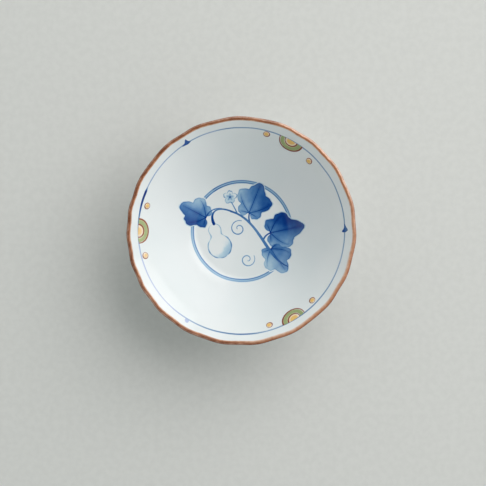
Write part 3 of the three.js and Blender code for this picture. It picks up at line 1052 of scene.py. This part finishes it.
# Each field of a half-roundel: its outer radius, bore and height, its slot, how unevenly its
# line is drawn, and how far in from its rim its colour deepens
ROUNDEL_FIELDS = (
    {"name": "outer_line", "radius": 5.8, "bore": 5.2, "height": 0.1, "slot": "red_enamel",
     "uneven": 0.34, "rim": 0.16},
    {"name": "green_band", "radius": 5.12, "bore": 3.28, "height": 0.2, "slot": "green_enamel",
     "uneven": 0.04, "rim": 0.3},
    {"name": "inner_line", "radius": 3.22, "bore": 2.66, "height": 0.1, "slot": "red_enamel",
     "uneven": 0.34, "rim": 0.16},
    {"name": "yellow_heart", "radius": 2.56, "bore": 0, "height": 0.22, "slot": "yellow_enamel",
     "uneven": 0, "rim": 1.2},
)
# Where each roundel's red lines are thickest, as a turn in radians from its clockwise end, and
# how thickly each motif's enamels lie
LOADED_SIDES = (-0.3, -0.9, -0.25)
ROUNDEL_LOADS = (1.0, 0.58, 0.95)
DOT_LOADS = (1.0, 1.0, 0.75, 0.55, 0.95, 1.0)

# The same for a dot
DOT_FIELDS = (
    {"name": "outline", "radius": 1.58, "bore": 1.18, "height": 0.08, "slot": "red_enamel",
     "uneven": 0.45, "rim": 0.14},
    {"name": "yellow_drop", "radius": 1.19, "bore": 0, "height": 0.22, "slot": "yellow_enamel",
     "uneven": 0, "rim": 0.45},
)


def cut_along_line(body, radius):
    """Takes off what would lie past the painted line, and closes the cut"""
    limit = np.interp((radius, BLUE_LINE_RADIUS), inner_line[:, 0], wall_runs)
    cut = bmesh.ops.bisect_plane(
        body, geom=[*body.verts, *body.edges, *body.faces], dist=WELD,
        plane_co=(0, limit[1] - limit[0], 0), plane_no=(0, 1, 0), clear_outer=True,
    )
    rim = [item for item in cut["geom_cut"] if isinstance(item, bmesh.types.BMEdge)]
    bmesh.ops.holes_fill(body, edges=rim)
    bmesh.ops.recalc_face_normals(body, faces=body.faces)


def enamel_depth(points, field, seed):
    """How thickly the enamel lies, from 0 at its rim to 1: a line is thickest where it is wide"""
    reach = np.hypot(points[:, 0], points[:, 1])
    away = field["radius"] - reach
    if field["bore"]:
        away = np.minimum(away, reach - field["bore"])
    angle = np.arctan2(points[:, 1], points[:, 0])
    loaded = 1 - field["uneven"] * (1 - np.cos(angle - seed)) / 2
    return np.clip(away / field["rim"], 0, 1) * loaded


def make_motif(name, fields, azimuth, radius, seed, load, off_centre=0.0):
    """A half-roundel or a dot: its fields of enamel on the wall, cut off where the line runs"""
    for number, field in enumerate(fields):
        profile = bead_profile(field["bore"], field["radius"], field["height"])
        body = turned(profile, BEAD_STEPS)
        middle = (field["radius"] + field["bore"]) / 2 if field["bore"] else 0
        shift = off_centre * heading(math.degrees(3 * seed + number))
        points = np.array([vert.co for vert in body.verts])
        thickness = body.verts.layers.float.new("depth")
        for vert, share in zip(body.verts, load * enamel_depth(points, field, seed)):
            vert[thickness] = share
        drawn = hand_drawn(points, middle, seed, field["uneven"], shift)
        for vert, place in zip(body.verts, drawn):
            vert.co = place
        cut_along_line(body, radius)
        points = np.array([vert.co for vert in body.verts])
        for vert, place in zip(body.verts, on_wall(points, azimuth, radius)):
            vert.co = place
        finished(
            f"{name}_{field['name']}_enamel", body, f"{name}_{field['name']}",
            ENAMELS[field["slot"]],
        )


make_ware()
for index, azimuth in enumerate(ROUNDEL_AZIMUTHS):
    make_motif(
        f"roundel_{index + 1}", ROUNDEL_FIELDS, azimuth, ROUNDEL_CENTRE_RADIUS, LOADED_SIDES[index],
        ROUNDEL_LOADS[index],
    )
for index, (azimuth, radius) in enumerate(DOT_PLACES):
    make_motif(f"dot_{index + 1}", DOT_FIELDS, azimuth, radius, 0.9 * index, DOT_LOADS[index], 0.08)


# Studio

PAPER_RADIUS = 4


def make_floor():
    """A pale matt sheet of paper under the dish, its radius in metres"""
    body = bmesh.new()
    bmesh.ops.create_circle(body, cap_ends=True, segments=96, radius=PAPER_RADIUS)
    mesh = bpy.data.meshes.new("floor")
    body.to_mesh(mesh)
    body.free()
    material, tree, place = new_finish("pale_matt_paper")
    fibre = grain(tree, place, 1.5, detail=3)
    colour = mixed(tree, step(tree, fibre, 0.3, 0.7), linear("#dcdbd8"), linear("#d8d7d4"))
    close_finish(tree, colour, roughness=0.9, ior=1.45)
    mesh.materials.append(material)
    floor = bpy.data.objects.new("floor", mesh)
    bpy.context.scene.collection.objects.link(floor)


KEY_AZIMUTH = 42
KEY_ELEVATION = 43
KEY_DISTANCE = 1.3

# The softbox is brighter in the middle: each disk's width in metres and what it adds
SOFTBOX_DISKS = ((1.7, 1.37), (1.25, 0.53))
KEY_COLOUR = "#fffcfb"

# The room by height of view, from level at 0 to overhead at 1: pale walls and a dark ceiling,
# with the walls this much brighter towards the softbox
ROOM_STOPS = (
    (0.0, "#a6adab"), (0.3, "#bec5c3"), (0.5, "#d0d7d5"), (0.85, "#d0d7d5"), (0.94, "#4b4f4e"),
    (1.0, "#4b4f4e"),
)
ROOM_GRADIENT = 0.43


def make_light():
    """One large round softbox from the upper right, in a room with a dark ceiling"""
    side = heading(KEY_AZIMUTH) * math.cos(math.radians(KEY_ELEVATION))
    toward = Vector((*side, math.sin(math.radians(KEY_ELEVATION))))
    for number, (width, brightness) in enumerate(SOFTBOX_DISKS):
        lamp = bpy.data.lights.new("softbox", "AREA")
        lamp.shape = "DISK"
        lamp.color = linear(KEY_COLOUR)[:3]
        lamp.size = width
        lamp_area = math.pi * width**2 / 4
        lamp.energy = brightness * math.pi * lamp_area
        softbox = bpy.data.objects.new("softbox", lamp)
        softbox.location = (KEY_DISTANCE + number * MM) * toward
        softbox.rotation_euler = toward.to_track_quat("Z", "Y").to_euler()
        bpy.context.scene.collection.objects.link(softbox)

    world = bpy.data.worlds.new("room")
    world.use_nodes = True
    tree = world.node_tree
    tree.nodes.clear()
    way = add(tree, "ShaderNodeTexCoord", output="Generated")
    up = add(tree, "ShaderNodeSeparateXYZ", {0: way}, output=2)
    keyward = add(tree, VECTOR_MATH, {0: way, 1: (*heading(KEY_AZIMUTH), 0)}, output="Value",
                  operation="DOT_PRODUCT")
    level = add(tree, MATH, {0: keyward, 1: ROOM_GRADIENT, 2: 1.0}, operation="MULTIPLY_ADD")
    glow = add(tree, "ShaderNodeBackground", {
        "Color": add(tree, RAMP, {"Fac": up}, stops=ROOM_STOPS), "Strength": level,
    })
    add(tree, "ShaderNodeOutputWorld", {"Surface": glow})
    bpy.context.scene.world = world


CAMERA_PLACE = Vector((9, -3, 900)) * MM
CAMERA_AIM = Vector((0.76, -5.53, 37)) * MM
CAMERA_LENS = 140


def make_camera():
    """Almost straight above the dish, with +Y up in the picture"""
    data = bpy.data.cameras.new("camera")
    data.sensor_width = 36
    data.lens = CAMERA_LENS
    camera = bpy.data.objects.new("camera", data)
    backward = (CAMERA_PLACE - CAMERA_AIM).normalized()
    right = Vector((0, 1, 0)).cross(backward).normalized()
    upward = backward.cross(right)
    turned_axes = Matrix((right, upward, backward)).transposed().to_4x4()
    camera.matrix_world = Matrix.Translation(CAMERA_PLACE) @ turned_axes
    bpy.context.scene.collection.objects.link(camera)
    bpy.context.scene.camera = camera


make_floor()
make_light()
make_camera()
bpy.context.scene.view_settings.view_transform = "Standard"
